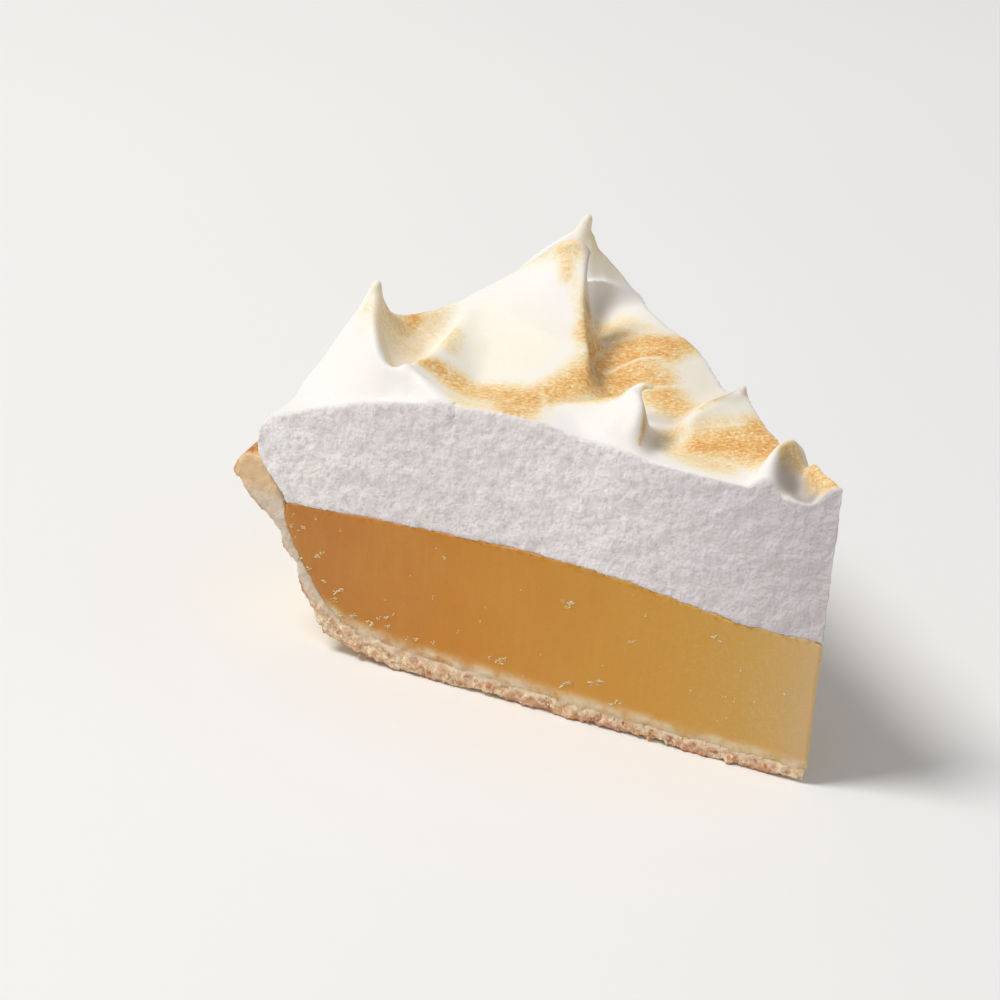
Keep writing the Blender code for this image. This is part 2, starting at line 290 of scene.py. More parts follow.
def makeGrainGroup():        # fine baked grain: short lumps with pale flecks between them
    group, given, result = startGroup("bakedGrain", [
        ("Lump", "NodeSocketFloat", 600.0), ("Fleck", "NodeSocketFloat", 2000.0),
    ], [("Mottle", "NodeSocketFloat"), ("Grain", "NodeSocketFloat"), ("Fleck", "NodeSocketFloat")])
    place = addNode(group, "ShaderNodeTexCoord").outputs["Object"]
    mottle = addNode(group, "ShaderNodeTexNoise", {"Vector": place, "Scale": given.outputs["Lump"],
                                                   "Detail": 3.0, "Roughness": 0.55})
    grain = addNode(group, "ShaderNodeTexNoise", {"Vector": place, "Scale": given.outputs["Fleck"],
                                                  "Detail": 2.0, "Roughness": 0.6, "Distortion": 0.6})
    fleck = addNode(group, "ShaderNodeTexVoronoi", {
        "Vector": place, "Scale": calc(group, "MULTIPLY", given.outputs["Fleck"], 0.55)}, feature="F1")
    group.links.new(mottle.outputs["Fac"], result.inputs["Mottle"])
    group.links.new(grain.outputs["Fac"], result.inputs["Grain"])
    group.links.new(remap(group, fleck.outputs["Distance"], 0.15, 0.4, 1.0, 0.0), result.inputs["Fleck"])
    return group


# a material with one Principled shader; plain values go straight on its sockets
def startMaterial(name, **plain):
    material = bpy.data.materials.new(name)
    material.use_nodes = True
    tree = material.node_tree
    shader = tree.nodes["Principled BSDF"]
    for key, value in plain.items():
        shader.inputs[key].default_value = value
    return material, tree, shader


grainGroup = makeGrainGroup()


def placeGrain(tree, lump, fleck):
    made = addNode(tree, "ShaderNodeGroup", node_tree=grainGroup)
    made.inputs["Lump"].default_value = 1 / (lump * mm)
    made.inputs["Fleck"].default_value = 1 / (fleck * mm)
    return made.outputs


# Meringue

whip = {
    "level": 53.5, "slopeWidth": 31.0, "slopeDrop": 9.5, "edgeWidth": 1.8, "edgeDrop": 1.2,
    "valleyRounding": 2.6, "crestRounding": 0.7, "cell": 0.6, "voxel": 0.5,
    "foamLump": 3.6, "foamHeight": 0.8, "foamPore": 1.5, "foamPoreHeight": 0.3, "foamMargin": 0.8,
    "spreadLump": 13.0, "spreadHeight": 3.2,
}

# places: (distance, bearing, height, left reach, right reach); hollow: how concave its left and right sides are
crests = {
    "outerPeak": dict(
        places=[(97.6, -13.2, 66.5, 14, 14.5), (95, -15.6, 63.6, 12, 10), (91.5, -18.2, 60.6, 8, 6),
                (88.5, -19.6, 58.2, 7, 3.5), (86, -19.6, 57.6, 6, 3.2), (83.8, -19, 58.0, 5, 4)],
        hollow=(1.75, 1.3), lean=(0.5, 0.4)),
    "cutFin": dict(
        places=[(84.6, -18.9, 57.8, 1.8, 1.6), (83.2, -17, 58.4, 2.5, 5), (82.5, -13, 58.7, 4, 8), (83.5, -10, 59.0, 5, 8),
                (84.8, -6.5, 59.2, 6, 8), (86, -3.5, 60, 6, 8)],
        hollow=(1.5, 1.4), lean=(-1.2, 0.0), blend=5),
    "cutStep": dict(
        places=[(84.9, -18.6, 58.2, 3, 1.3), (82.4, -19.3, 57.6, 6, 1.0), (79, -20.4, 56.7, 7, 1.0),
                (76, -21.3, 55.8, 7, 1.0), (73.2, -22.2, 54.9, 6, 1.0), (71.5, -23.2, 54.0, 5, 1.0)],
        hollow=(1.3, 0.6), lean=(0.0, 0.0), blend=0.6),
    "middleBack": dict(
        places=[(97.5, -11, 61, 9, 10), (95, -8, 59.9, 10, 12), (92.5, -3, 60.6, 12, 18), (88.5, 1, 64.3, 12, 24),
                (85, 4, 69.2, 10, 26), (83, 6, 72.0, 5.5, 26), (80.7, 7.7, 73.8, 3, 24), (78.5, 8.8, 73.3, 2, 22)],
        hollow=(1.8, 1.5), lean=(1.2, 1.0), blend=8),
    "middleFront": dict(
        places=[(78.5, 8.8, 73.3, 1.6, 22), (74.5, 6.7, 69.5, 1.4, 21), (70.5, 4.3, 66.3, 1.4, 20), (66, 1.5, 63, 1.8, 19),
                (62, -1.5, 60.5, 3.4, 18), (58, -6, 57.5, 7, 16)],
        hollow=(1.2, 1.3), lean=(1.3, 1.25), curls=True, blend=16),
    "backPeak": dict(
        places=[(98.3, 10, 62, 8, 6), (96.6, 11.4, 65.3, 8, 6), (95, 12.9, 68.0, 8, 6), (93.3, 14.4, 70.4, 9, 6.5),
                (91.8, 16, 70.5, 10, 5), (91, 17, 67.5, 9, 4), (90.2, 18.2, 65.6, 9, 3.5), (89.6, 19.2, 63.9, 7, 3),
                (88.6, 20.3, 62.0, 5, 2.5), (86.5, 21.8, 58.4, 4, 2), (85, 23.5, 57, 4, 2)],
        hollow=(1.6, 1.9), lean=(0.8, 0.7)),
    "backFold": dict(
        places=[(86, 11.3, 63.8, 8, 11), (86.8, 13.8, 63.4, 8, 11), (87.6, 16.3, 62.6, 8, 11),
                (87.4, 19.0, 61.0, 7, 11), (85.5, 21.3, 58.8, 6, 10), (83, 24, 56.6, 5, 10)],
        hollow=(0.7, 6.0), lean=(4.0, -3.2)),
    "nearPeakBack": dict(
        places=[(60, -16.5, 55.6, 5, 6), (55, -16, 56.6, 5, 7), (52.6, -13, 57.6, 5, 8), (49.7, -11, 58.7, 4.5, 9),
                (46.5, -9.4, 60.0, 4, 10), (43.5, -9, 61.9, 3.5, 10)],
        hollow=(1.6, 1.3), lean=(0.5, 0.2)),
    "nearPeakFront": dict(
        places=[(43.5, -9, 61.9, 2.5, 10), (41.0, -11.2, 60.8, 2.2, 9), (39.7, -14.6, 58.6, 2.2, 7),
                (38.6, -18, 55.8, 2.5, 4), (37.6, -21.5, 53.2, 3, 2)],
        hollow=(1.3, 1.2), lean=(0.0, 0.0)),
    "farCrest": dict(
        places=[(37, 3, 57.4, 3, 4), (37.4, 7, 58.2, 4, 7), (38.2, 12, 58.6, 6, 10), (40.3, 24, 58.8, 7, 11)],
        hollow=(1.4, 1.4), lean=(0.8, 0.0)),
    "tipPeak": dict(
        places=[(14.1, -25, 51.5, 1.5, 1.2), (14.1, -21, 53.6, 2, 1.5), (14.1, -15.5, 57.0, 2.6, 2.3), (14.1, -9, 60.4, 3.6, 3.2),
                (14.0, -1, 61.6, 4.5, 3.6), (14.2, 8, 61.2, 5.5, 4.0), (16.0, 17, 59.2, 6, 5), (17.5, 25, 57.0, 5, 5)],
        hollow=(1.5, 1.2), lean=(0.7, -0.2)),
    "tipWave": dict(
        places=[(0, 0, 57.6, 2, 2), (3, 14, 57.8, 2.2, 2.2), (6.5, 18, 57.6, 2.4, 2.6), (10, 19, 57.8, 3, 3)],
        hollow=(1.3, 1.3), lean=(0.0, 0.0)),
}

# drawn-out tips: places are (distance, bearing, height, radius), from inside the crest to the tip
horns = {
    "outerHorn": [(97.8, -13.3, 57, 4.6), (97.6, -13.2, 61, 2.9), (97.4, -13.0, 64, 1.9), (97.2, -12.8, 67.0, 1.05)],
    "middleCurl": [(82, 7, 70, 1.6), (80.2, 7.9, 72.5, 1.3), (78.4, 9.0, 73.2, 1.1), (77.0, 9.7, 72.2, 0.8)],
    "backHorn": [(92.4, 15.6, 62, 3.4), (92.2, 15.6, 66, 2.4), (91.8, 15.6, 69.5, 1.7), (91.2, 15.9, 72.7, 1.0)],
    "farTip": [(39.4, 20.2, 56.8, 1.7), (39.0, 20.8, 58.4, 1.1), (38.3, 21.2, 59.7, 0.6)],
    "nearHook": [(44.6, -9.2, 60, 1.4), (43.2, -9, 61.9, 0.9), (42.0, -8.4, 62.9, 0.7), (40.9, -7.3, 62.5, 0.45)],
}

# distance, bearing, rise and spread
swells = [(60, -22, 2.6, 15), (85, 22, 3.6, 16), (60, 20, 4.5, 14), (28, 22, 2.2, 10), (81, 13, -2.5, 5),
          (36, -8, -1.0, 4), (8, 3, -1.1, 3)]

# browned strokes: how strong, then places as (along the middle from the tip, across it, half width)
toastStrokes = [
    (0.8, [(79.4, -24, 1), (77.5, -21.5, 2), (74, -20, 3.2), (70, -19.5, 4.5), (64, -18, 5.5), (59.5, -19, 5.5), (57, -22, 4.5)]),
    (0.4, [(69, -24.5, 2.5), (62, -25, 3)]),
    (0.85, [(60, -18, 5), (58.5, -12, 4.5), (57.5, -5, 4.5), (57, 2, 5), (57.5, 7, 5.5)]),
    (0.85, [(64, 3, 3), (66, 8, 3.5), (66.5, 13, 4), (64, 18, 5), (59, 21, 5), (57, 25, 4)]),
    (0.9, [(62, 6, 4), (62, 12, 5), (58, 17, 4)]),
    (0.55, [(78.5, 20.5, 2.5), (75.5, 20, 3.5), (71, 18, 5), (66, 17, 5)]),
    (0.35, [(76, 24, 3), (70, 22.5, 4), (64, 21, 4)]),
    (0.75, [(57, 10, 5), (53, 9.5, 4.5), (48, 7, 4.5), (43, 6, 3.5)]),
    (0.35, [(50, 5, 3), (45, 4, 3), (40, 3, 2.5)]),
    (0.92, [(31, -1, 4.5), (27, 3, 6.5), (22, 5, 6)]),
    (0.85, [(27, 9, 5), (22, 8, 4)]),
    (0.5, [(38, -2, 3), (31, -6, 3), (24, -4, 4)]),
    (0.6, [(12.7, -1.5, 1.0), (12.6, 0.5, 1.3), (12.3, 3, 1.4)]),
    (0.6, [(11.8, 1.6, 1.0), (10, 2.6, 1.2), (8, 3.0, 1.2)]),
    (0.75, [(9, 2.5, 1.6), (6, 1.2, 1.5), (3, 0.4, 1.4), (0.5, 0, 1.0)]),
    (0.6, [(95, -8, 1.8), (93.8, -12, 2.8), (92.4, -16, 3.2), (91, -19.5, 2.8)]),
    (0.8, [(95.3, -8, 1.4), (94, -11.5, 1.8), (92.3, -14.5, 1.8)]),
    (0.2, [(88.8, 24.8, 1.6)]),
    (0.42, [(95, -4, 2.5), (92.5, -11, 5.0), (91, -18, 5.5), (90, -22, 4.5)]),
    (0.35, [(93.8, -24.4, 1.2), (91.5, -24.6, 1.5), (87.5, -26.0, 1.5), (84, -26.5, 1.2), (81, -26, 1.0)]),
    (0.5, [(80, -24.6, 1.2), (83, -17.5, 1.8), (84.5, -11, 1.6)]),
    (0.6, [(71, 9.5, 1.6), (69, 7.5, 2.2), (66, 4.5, 2.4)]),
    (0.45, [(88, 4, 1.5), (84.5, 8, 2.5), (81, 11, 3), (77.5, 11, 2.5)]),
    (0.3, [(77, 10.0, 1.2), (72.5, 7.0, 1.2), (67, 3.0, 1.2), (62, -0.5, 2)]),
    (0.4, [(83, -11, 1.5), (80.5, -16, 2.0)]),
    (0.7, [(52, -11, 2), (46, -7.5, 1.6)]),
    (0.6, [(41.2, -6.4, 0.5), (39.1, -7.9, 0.45), (37.2, -10.4, 0.4), (36.0, -12.2, 0.4)]),
    (0.55, [(36.8, 4, 0.8), (37.2, 9, 1), (38.5, 15.5, 0.9)]),
    (0.4, [(87, 26.5, 2.2), (86, 30, 3), (85, 33, 3)]),
    (0.14, [(90, -12, 7), (80, -10, 9), (70, -6, 6)]),
    (0.5, [(80, 9.5, 1.5), (78, 9.5, 1.6), (75.5, 7.6, 1.4)]),
    (0.6, [(68.5, -15.8, 2.5), (64, -15, 2.5)]),
    (0.25, [(30, 6, 5), (25, 8, 4)]),
    (0.14, [(54, 18, 5), (46, 14, 5), (40, 12, 4)]),
    (0.12, [(32, 8, 4), (33, 12, 4)]),
]

# thin strokes that stayed pale: how strong, then places as above
paleStrokes = [
    (0.6, [(61.6, 5.5, 0.5), (61.3, 9.5, 0.5), (60, 13, 0.5), (57.5, 15, 0.4)]),
    (0.45, [(68.5, 13.5, 0.4), (66.5, 9, 0.4), (64.8, 5, 0.4)]),
    (0.5, [(53, 5, 0.5), (51, 9, 0.6), (48, 13, 0.6)]),
    (0.4, [(60, -13, 0.5), (56, -15.5, 0.6), (53, -19, 0.8)]),
    (0.45, [(33.5, 3, 0.3), (31.5, 5.5, 0.4), (30, 8.5, 0.3)]),
]

# hollows that stay in shade: how deep, then places as above
shadeStrokes = [
    (0.9, [(11.5, -2.5, 1.6), (10, -0.6, 2.0), (8, -1.2, 1.8), (6, -1.2, 1.4)]),
    (0.4, [(44.5, 0.5, 2.5), (42.5, 1.5, 3.0)]),
    (0.3, [(81.5, 23.6, 1.2), (81.2, 27, 1.6), (79.8, 30.5, 1.5), (78.3, 33, 1.2)]),
    (0.5, [(75.6, 13.6, 1.4), (73.6, 12.0, 1.2), (71.5, 10, 0.9)]),
    (0.16, [(54, 16, 5), (49, 14, 6), (44, 13, 5)]),
    (0.3, [(37.5, 8, 1.2), (36.5, 12, 1.8), (36.5, 16, 1.8)]),
    (0.45, [(37.5, -3.5, 1.6), (37, -7, 2.2), (36.2, -11, 2.2)]),
]

# the split in the cut below the fin
crack = {"distance": 72.4, "low": 50.4, "width": 0.5, "depth": 0.8}


def layerTop(x, y):
    distance = np.hypot(tipX - x, y)
    slope = np.clip((distance - whipRadius + whip["slopeWidth"]) / whip["slopeWidth"], 0, 1.2)
    edge = np.clip((distance - whipRadius + whip["edgeWidth"]) / whip["edgeWidth"], 0, 1)
    height = whip["level"] - whip["slopeDrop"] * slope**1.5 - whip["edgeDrop"] * edge**2
    for swellDistance, bearing, rise, spread in swells:
        sx, sy = planPlace(swellDistance, bearing)
        height = height + rise * np.exp(-((x - sx) ** 2 + (y - sy) ** 2) / spread**2)
    return height


def crestLift(x, y, crest):        # how far one crest lifts the layer, and which part of its full lift that is
    line = smoothLine(crest["places"], 9)
    cx, cy = planPlace(line[:, 0], line[:, 1])
    lift = np.maximum(line[:, 2] - layerTop(cx, cy), 0)
    tx, ty = np.gradient(cx), np.gradient(cy)
    total, local = np.zeros_like(x), np.zeros_like(x)
    for px, py, sx, sy, rise, left, right in zip(cx, cy, tx, ty, lift, line[:, 3], line[:, 4]):
        dx, dy = x - px, y - py
        away = np.hypot(dx, dy)
        rightness = 0.5 - 0.5 * (sx * dy - sy * dx) / np.maximum(math.hypot(sx, sy) * away, 1e-9)
        toward = rightness if right > left else 1 - rightness
        reach = min(left, right) + abs(right - left) * toward**3
        hollow = crest["hollow"][0] + (crest["hollow"][1] - crest["hollow"][0]) * rightness
        blunt = np.sqrt(away**2 + whip["crestRounding"] ** 2) - whip["crestRounding"]
        profile = np.clip(1 - blunt / reach, 0, 1) ** hollow
        local = np.where(rise * profile > total, profile, local)
        total = np.maximum(total, rise * profile)
    return total, total / lift.max(), local


def pullCrests(x, y):
    total, moveX, moveY = np.zeros_like(x), np.zeros_like(x), np.zeros_like(x)
    for crest in crests.values():
        lift, share, local = crestLift(x, y, crest)
        width = np.minimum(crest.get("blend", whip["valleyRounding"]) * (1 - share), total + lift)
        overlap = np.maximum(width - np.abs(total - lift), 0)
        total = np.maximum(total, lift) + overlap**2 / (4 * np.maximum(width, 1e-9))
        curl = local**3 * (1 - 0.7 * share**3) if crest.get("curls") else share**3
        moveX += crest["lean"][0] * curl
        moveY += crest["lean"][1] * curl
    return x + moveX, y + moveY, layerTop(x, y) + total


def addHorn(path):        # a closed tapered tube with a round tip, buried at its thick end
    line = smoothLine([(*planPlace(distance, bearing), height, radius) for distance, bearing, height, radius in path], 8)
    tip, heading = line[-1], line[-1, :3] - line[-2, :3]
    heading = heading / np.linalg.norm(heading)
    for turn in (30, 55, 75, 87):
        angle = math.radians(turn)
        line = np.vstack([line, (*(tip[:3] + heading * tip[3] * math.sin(angle)), tip[3] * math.cos(angle))])
    shape = bpy.data.curves.new("horn", "CURVE")
    shape.dimensions = "3D"
    shape.bevel_depth = mm
    shape.bevel_resolution = 4
    shape.use_fill_caps = True
    spline = shape.splines.new("POLY")
    spline.points.add(len(line) - 1)
    for point, (x, y, z, radius) in zip(spline.points, line):
        point.co = (x * mm, y * mm, z * mm, 1)
        point.radius = radius
    horn = bpy.data.objects.new("horn", shape)
    bpy.context.scene.collection.objects.link(horn)
    pickOnly(horn)
    bpy.ops.object.convert(target="MESH")
    horn = bpy.context.object
    bpy.ops.object.mode_set(mode="EDIT")
    bpy.ops.mesh.select_all(action="SELECT")
    bpy.ops.mesh.remove_doubles(threshold=0.01 * mm)
    bpy.ops.mesh.normals_make_consistent(inside=False)
    bpy.ops.object.mode_set(mode="OBJECT")
    return horn


def curdTop(distance):        # the height of the filling under the meringue
    places = [(0.0, 0.0), (0.17, -0.1), (0.4, 2.4), (0.67, 2.3), (1.0, 0.0)]
    line = smoothLine([(s * wallRadius, whipBottom + rise) for s, rise in places], 8)
    return np.interp(distance, line[:, 0], line[:, 1])


def shapeMould():        # the space for the meringue: over the filling, out across the crust's inner lip
    under = [(s, curdTop(s) - 0.05) for s in np.linspace(0, wallRadius, 14)]
    lipLine = [(wallRadius + 0.9, whipBottom + 1.5), (whipRadius - 1.6, rimHeight - 2.1),
               (whipRadius, rimHeight - 1.3)]
    bulge = [(whipRadius + out, rimHeight + rise) for out, rise in ((1.4, 1.5), (1.3, 5.5), (0.9, 8.5), (0.4, 10.0))]
    outline = under + lipLine + bulge + [(whipRadius + 0.4, 90.0), (0.0, 90.0)]
    bpy.ops.object.select_all(action="DESELECT")
    bpy.ops.mesh.primitive_circle_add(vertices=len(outline), radius=10 * mm, fill_type="NGON")
    mould = bpy.context.object
    for vert, (distance, height) in zip(mould.data.vertices, outline):
        x, y = planPlace(distance, -halfAngle)
        vert.co = Vector((x, y, height)) * mm
    bpy.ops.object.mode_set(mode="EDIT")
    bpy.ops.mesh.select_all(action="SELECT")
    bpy.ops.mesh.spin(steps=32, angle=math.radians(2 * halfAngle), center=(tipX * mm, 0, 0), axis=(0, 0, 1))
    bpy.ops.mesh.select_all(action="SELECT")
    bpy.ops.mesh.remove_doubles(threshold=0.01 * mm)
    bpy.ops.mesh.normals_make_consistent(inside=False)
    bpy.ops.object.mode_set(mode="OBJECT")
    return mould


def shapeWhip():
    width, depth = rimRadius + 8, 2 * crustHigh.y / mm + 8
    bpy.ops.object.select_all(action="DESELECT")
    bpy.ops.mesh.primitive_grid_add(x_subdivisions=round(width / whip["cell"]),
                                    y_subdivisions=round(depth / whip["cell"]), size=1.0)
    piece = bpy.context.object
    piece.name = "meringueTop"
    points = readPoints(piece) * mm
    writePoints(piece, np.column_stack(pullCrests(points[:, 0] * width, points[:, 1] * depth)))
    bpy.ops.object.mode_set(mode="EDIT")
    bpy.ops.mesh.select_all(action="SELECT")
    bpy.ops.mesh.extrude_region_move(TRANSFORM_OT_translate={"value": (0, 0, -45 * mm)})
    bpy.ops.transform.resize(value=(1, 1, 0), center_override=(0, 0, (whipBottom - 12) * mm))
    bpy.ops.mesh.select_all(action="SELECT")
    bpy.ops.mesh.normals_make_consistent(inside=False)
    bpy.ops.object.mode_set(mode="OBJECT")
    mould = shapeMould()
    applyModifier(piece, "BOOLEAN", operation="INTERSECT", solver="EXACT", object=mould)
    bpy.data.objects.remove(mould)
    tips = [addHorn(path) for path in horns.values()]
    pickOnly(piece)
    for tip in tips:
        tip.select_set(True)
    bpy.ops.object.join()
    applyModifier(piece, "REMESH", mode="VOXEL", voxel_size=whip["voxel"] * mm, adaptivity=0.0)
    applyModifier(piece, "SMOOTH", factor=0.5, iterations=3)
    return piece


def strokeMask(points, strength, places):
    line = smoothLine(places, 10)
    away = np.hypot(points[:, 0, None] - tipX + line[:, 0], points[:, 1, None] - line[:, 1]) / line[:, 2]
    return strength * ease(away.min(axis=1), 1.7, 0.15)


def finishWhip(piece):
    points, normals = readPoints(piece), readNormals(piece)
    distance, bearing, depth = sliceMeasure(points)
    cutFace = ease(depth, 1.2, 0.3)
    cutNormal = np.abs(normals[:, 0] * math.sin(math.radians(halfAngle))) + np.abs(
        normals[:, 1] * math.cos(math.radians(halfAngle)))
    facing = ease(cutNormal, 0.55, 0.9)
    foam = cutFace * facing
    sides = np.flatnonzero(foam > 0)
    below = pullCrests(points[sides, 0], points[sides, 1])[2] - points[sides, 2]
    foam[sides] *= ease(below, 0.0, whip["foamMargin"] * np.where(bearing[sides] > 0, 2.5, 1.0))
    roughen(piece, foam, whip["foamLump"], whip["foamHeight"], depth=1, middle=0.55)
    roughen(piece, foam, whip["foamPore"], whip["foamPoreHeight"], depth=1, middle=0.55)
    spread = ease(distance, whipRadius - 7, whipRadius - 3) * ease(depth, 2, 7)
    roughen(piece, spread, whip["spreadLump"], whip["spreadHeight"], depth=1)
    points = readPoints(piece)
    distance, bearing, depth = sliceMeasure(points)
    toast = np.zeros(len(points))
    for strength, places in toastStrokes:
        toast = np.maximum(toast, strokeMask(points, strength, places))
    for strength, places in paleStrokes:
        toast *= 1 - strokeMask(points, strength, places)
    shade = np.zeros(len(points))
    for strength, places in shadeStrokes:
        shade = np.maximum(shade, strokeMask(points, strength, places))
    cut = ease(depth, 0.9, 0.25) * facing
    offset = np.abs(distance - crack["distance"] - 0.3 * np.sin(points[:, 2] * 2.2))
    split = ease(offset, crack["width"], 0.05) * ease(depth, 1.6, 0.6) * ease(bearing, 0, -5) * ease(
        points[:, 2], crack["low"], crack["low"] + 1.5)
    points[:, 1] += split * crack["depth"]
    writePoints(piece, points)
    paint(piece, "toast", toast * (1 - cut))
    paint(piece, "cut", cut)
    paint(piece, "shade", np.maximum(shade * (1 - cut), 0.6 * split))
    paint(piece, "reach", distance / whipRadius)


def whipMaterial():
    material, tree, shader = startMaterial("whippedMeringue", **{
        "Subsurface Weight": 0.25, "Subsurface Radius": (1.0, 0.75, 0.55), "Subsurface Scale": 2 * mm,
        "IOR": 1.4, "Specular IOR Level": 0.35})
    grain = placeGrain(tree, 3.0, 0.55)
    toast, cut, shade, reach = (readMask(tree, name) for name in ("toast", "cut", "shade", "reach"))
    place = addNode(tree, "ShaderNodeTexCoord").outputs["Object"]
    drawn = addNode(tree, "ShaderNodeMapping", {
        "Vector": place, "Rotation": (0, 0, math.radians(44)), "Scale": (1.5, 1.0, 1.0)}, vector_type="TEXTURE")
    streak = noiseAt(tree, drawn.outputs[0], 0.55, 3.0, 0.65, 0.4)
    uneven = calc(tree, "MULTIPLY", calc(tree, "SUBTRACT", grain["Mottle"], 0.5), 0.6)
    speckle = calc(tree, "MULTIPLY", calc(tree, "SUBTRACT", streak, 0.5), 1.9)
    level = calc(tree, "MULTIPLY", toast, calc(tree, "ADD", 0.82, calc(tree, "ADD", uneven, speckle)), clamp=True)
    level = calc(tree, "SUBTRACT", level, calc(tree, "MULTIPLY", calc(tree, "MULTIPLY", grain["Fleck"], 0.25),
                                               toast), clamp=True)
    skin = rampColour(tree, level, [
        (0.0, tint(252, 247, 242)), (0.15, tint(252, 243, 226)), (0.35, tint(249, 228, 188)),
        (0.55, tint(244, 207, 146)), (0.75, tint(236, 184, 112)), (1.0, tint(222, 150, 76))])
    skin = blendColour(tree, calc(tree, "MULTIPLY", shade, 0.8), skin, tint(150, 142, 144), mode="MULTIPLY")
    # the cut face's foam colour by distance from the tip, darker and greyer near the tip: painted shade
    foam = rampColour(tree, reach, [
        (0.0, tint(206, 199, 201)), (0.2, tint(228, 221, 223)), (0.4, tint(246, 240, 240)),
        (0.75, tint(238, 231, 231)), (1.0, tint(252, 247, 245))])
    foam = blendColour(tree, remap(tree, noiseAt(tree, place, 5.0, 3.0, 0.6), 0.55, 0.35, 0.0, 0.3), foam,
                       tint(222, 214, 218))
    # painted shade: the foam is greyed in the low parts of the lumps that the bump below also follows
    lumps = noiseAt(tree, place, 1.15, 1.0)
    foam = blendColour(tree, remap(tree, lumps, 0.5, 0.3, 0.0, 0.5), foam, tint(210, 202, 206))
    glint = remap(tree, noiseAt(tree, place, 0.6, 1.0), 0.55, 0.75, 0.0, 0.6)
    foam = blendColour(tree, calc(tree, "MULTIPLY", glint, reach), foam, tint(255, 253, 252))
    colour = blendColour(tree, cut, skin, foam)
    tree.links.new(colour, shader.inputs["Base Color"])
    roughness = calc(tree, "ADD", 0.5, calc(tree, "MULTIPLY", cut, 0.3))
    tree.links.new(roughness, shader.inputs["Roughness"])
    height = calc(tree, "ADD", calc(tree, "MULTIPLY", grain["Grain"], calc(tree, "ADD", 0.08, calc(
        tree, "ADD", calc(tree, "MULTIPLY", toast, 0.6), calc(tree, "MULTIPLY", cut, 0.1)))), calc(
        tree, "MULTIPLY", grain["Mottle"], 0.3))
    fluff = calc(tree, "ADD", calc(tree, "MULTIPLY", lumps, 1.6), calc(
        tree, "MULTIPLY", noiseAt(tree, place, 0.6, 1.0), 0.9))
    fluff = calc(tree, "MULTIPLY", fluff, cut)
    bump = addNode(tree, "ShaderNodeBump", {"Strength": 0.75, "Distance": 0.32 * mm, "Height": calc(
        tree, "ADD", height, fluff)})
    tree.links.new(bump.outputs[0], shader.inputs["Normal"])
    return material


print("meringue: sculpting")
meringueTop = shapeWhip()
finishWhip(meringueTop)
meringueTop.data.materials.append(whipMaterial())
print("meringue:", len(meringueTop.data.polygons), "faces")


# Lemon filling

curd = {"voxel": 0.6, "grow": 0.55, "bury": 0.7, "sink": -0.02, "sag": 0.16, "sagSize": 9.0, "hazeDepth": 3.4,
        "fleckThickness": 0.13}

# pale flecks on the cut that faces the camera: distance, height, length
flecks = [
    (93.2, 10.9, 0.6), (92.8, 11.8, 0.6), (91.3, 8.5, 0.9), (88.8, 8.8, 1.3), (85.6, 8.4, 0.8),
    (84.6, 8.6, 1.7), (83.7, 9.8, 0.9), (82.0, 10.4, 1.1), (81.6, 8.7, 0.9), (80.8, 11.2, 0.6),
    (77.7, 7.4, 0.4), (75.9, 7.7, 0.8), (72.6, 8.0, 0.8), (82.6, 14.0, 0.4), (59.7, 7.9, 1.1),
    (61.1, 8.1, 0.8), (58.4, 8.5, 0.8), (59.1, 7.7, 0.9), (54.4, 5.9, 0.6), (46.3, 7.0, 3.0),
    (41.0, 8.6, 1.9), (39.7, 9.3, 1.5), (39.6, 12.2, 0.4), (37.1, 5.6, 0.9), (36.0, 6.2, 1.1),
    (16.5, 12.6, 0.6), (15.4, 9.1, 0.6), (17.1, 8.0, 0.6), (10.7, 13.1, 0.4), (5.4, 16.8, 0.6),
    (6.6, 13.6, 0.4), (14.4, 12.8, 0.4), (99.9, 24.0, 0.9), (102.1, 23.6, 0.8), (100.7, 23.2, 0.6),
    (97.4, 26.3, 0.4), (101.3, 21.6, 0.4), (92.4, 25.4, 0.4), (96.8, 19.0, 1.1), (95.7, 19.7, 0.8),
    (100.3, 17.5, 1.1), (98.1, 16.0, 0.8), (95.1, 14.3, 1.1), (92.4, 12.9, 1.3), (91.4, 13.4, 0.9),
    (92.5, 11.1, 0.8), (91.5, 8.5, 0.9), (90.8, 6.6, 0.8), (73.2, 27.0, 0.6), (71.7, 25.3, 0.8),
    (73.3, 16.9, 0.4), (46.9, 23.1, 1.5), (47.3, 22.1, 1.1), (62.9, 17.8, 0.4), (63.7, 14.5, 0.4),
    (35.0, 28.3, 0.6), (32.7, 24.5, 0.6), (34.5, 18.7, 1.5), (19.4, 23.9, 1.3), (18.4, 23.2, 0.8),
    (48.2, 23.0, 0.8), (102.0, 26.1, 0.4), (78.0, 20.1, 0.3), (56.5, 22.9, 0.3), (22.8, 12.4, 0.4),
    (28.8, 15.1, 0.4), (14.2, 18.8, 0.3), (67.8, 11.4, 0.4), (51.6, 11.2, 0.3),
]


